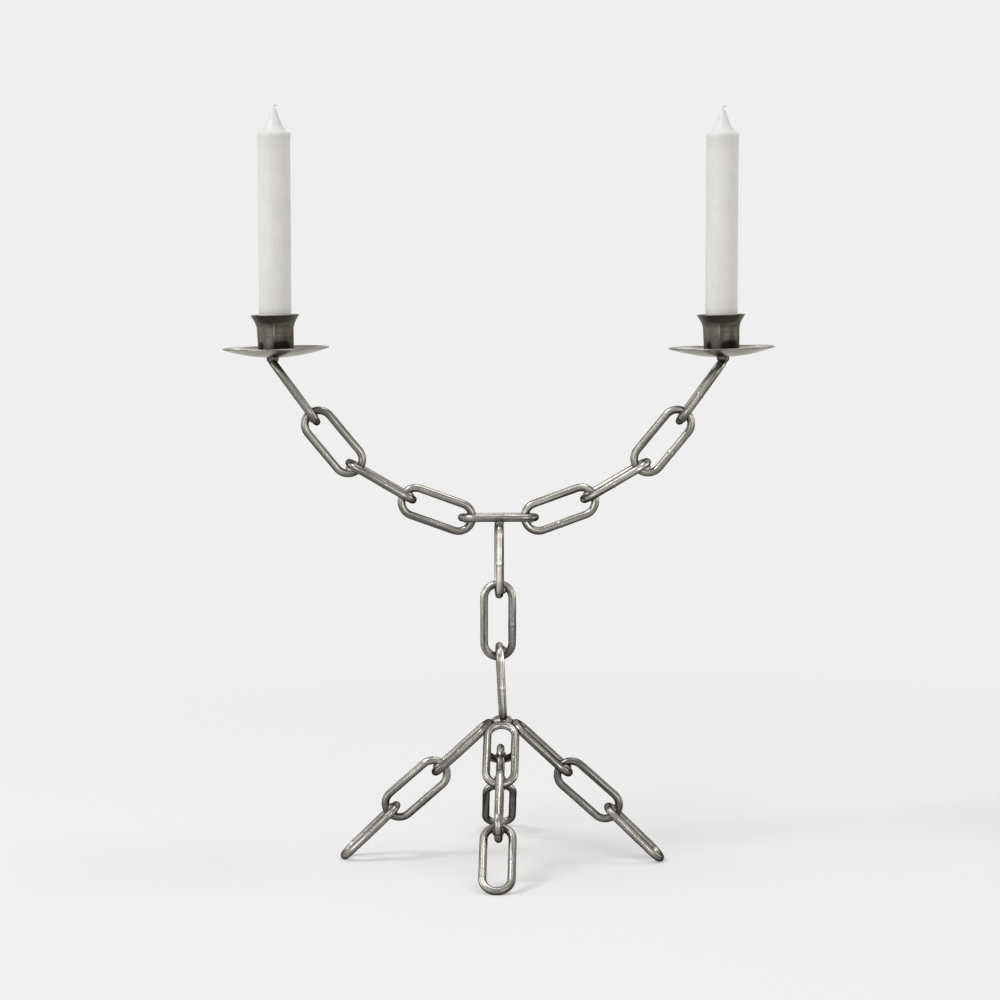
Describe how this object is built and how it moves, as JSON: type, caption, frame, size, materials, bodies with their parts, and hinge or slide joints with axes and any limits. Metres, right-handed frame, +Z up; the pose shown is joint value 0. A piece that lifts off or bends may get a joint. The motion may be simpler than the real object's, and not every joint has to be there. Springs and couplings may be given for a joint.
{
  "type": "candelabra",
  "caption": "Table candelabra welded from long chain links: splayed chain legs, a short chain stem, curved chain arms, round drip pans and flared cups with shoulder-topped candles.",
  "frame": {"origin": "on the floor, midway between the two candles, under the middle of the arms", "axes": "+Z up, +X towards the right-hand candle as seen from the front, +Y towards the back leg"},
  "size_m": [0.377, 0.224, 0.5187],
  "materials": {
    "chain_steel": "satin",
    "weld_steel": "satin",
    "pan_steel": "polished",
    "cup_steel": "polished",
    "wax": "satin",
    "wick": "matte"
  },
  "bodies": {
    "stand": {"left_leg_upper_link": "chain_steel", "left_leg_middle_link": "chain_steel", "left_leg_foot_link": "chain_steel", "right_leg_upper_link": "chain_steel", "right_leg_middle_link": "chain_steel", "right_leg_foot_link": "chain_steel", "front_leg_upper_link": "chain_steel", "front_leg_middle_link": "chain_steel", "front_leg_foot_link": "chain_steel", "back_leg_upper_link": "chain_steel", "back_leg_middle_link": "chain_steel", "back_leg_foot_link": "chain_steel", "stem_bottom_link": "chain_steel", "stem_middle_link": "chain_steel", "stem_top_link": "chain_steel", "arm_centre_link": "chain_steel", "left_arm_link_1": "chain_steel", "left_arm_link_2": "chain_steel", "left_arm_link_3": "chain_steel", "left_arm_link_4": "chain_steel", "right_arm_link_1": "chain_steel", "right_arm_link_2": "chain_steel", "right_arm_link_3": "chain_steel", "right_arm_link_4": "chain_steel", "left_leg_knee_weld": "weld_steel", "left_leg_ankle_weld": "weld_steel", "right_leg_knee_weld": "weld_steel", "right_leg_ankle_weld": "weld_steel", "front_leg_knee_weld": "weld_steel", "front_leg_ankle_weld": "weld_steel", "back_leg_knee_weld": "weld_steel", "back_leg_ankle_weld": "weld_steel", "hub_weld": "weld_steel", "stem_lower_weld": "weld_steel", "stem_upper_weld": "weld_steel", "stem_top_front_weld": "weld_steel", "stem_top_back_weld": "weld_steel", "left_arm_weld_1": "weld_steel", "left_arm_weld_2": "weld_steel", "left_arm_weld_3": "weld_steel", "left_arm_weld_4": "weld_steel", "left_pan_weld": "weld_steel", "right_arm_weld_1": "weld_steel", "right_arm_weld_2": "weld_steel", "right_arm_weld_3": "weld_steel", "right_arm_weld_4": "weld_steel", "right_pan_weld": "weld_steel", "left_drip_pan": "pan_steel", "right_drip_pan": "pan_steel", "left_candle_cup": "cup_steel", "right_candle_cup": "cup_steel"},
    "left_candle_body": {"left_candle": "wax", "left_wick": "wick"},
    "right_candle_body": {"right_candle": "wax", "right_wick": "wick"}
  },
  "joints": [
    {"name": "left_candle_lift", "type": "slide", "parent": "stand", "child": "left_candle_body", "axis": [0, 0, 1], "range_m": [0, 0.035]},
    {"name": "right_candle_lift", "type": "slide", "parent": "stand", "child": "right_candle_body", "axis": [0, 0, 1], "range_m": [0, 0.035]}
  ]
}
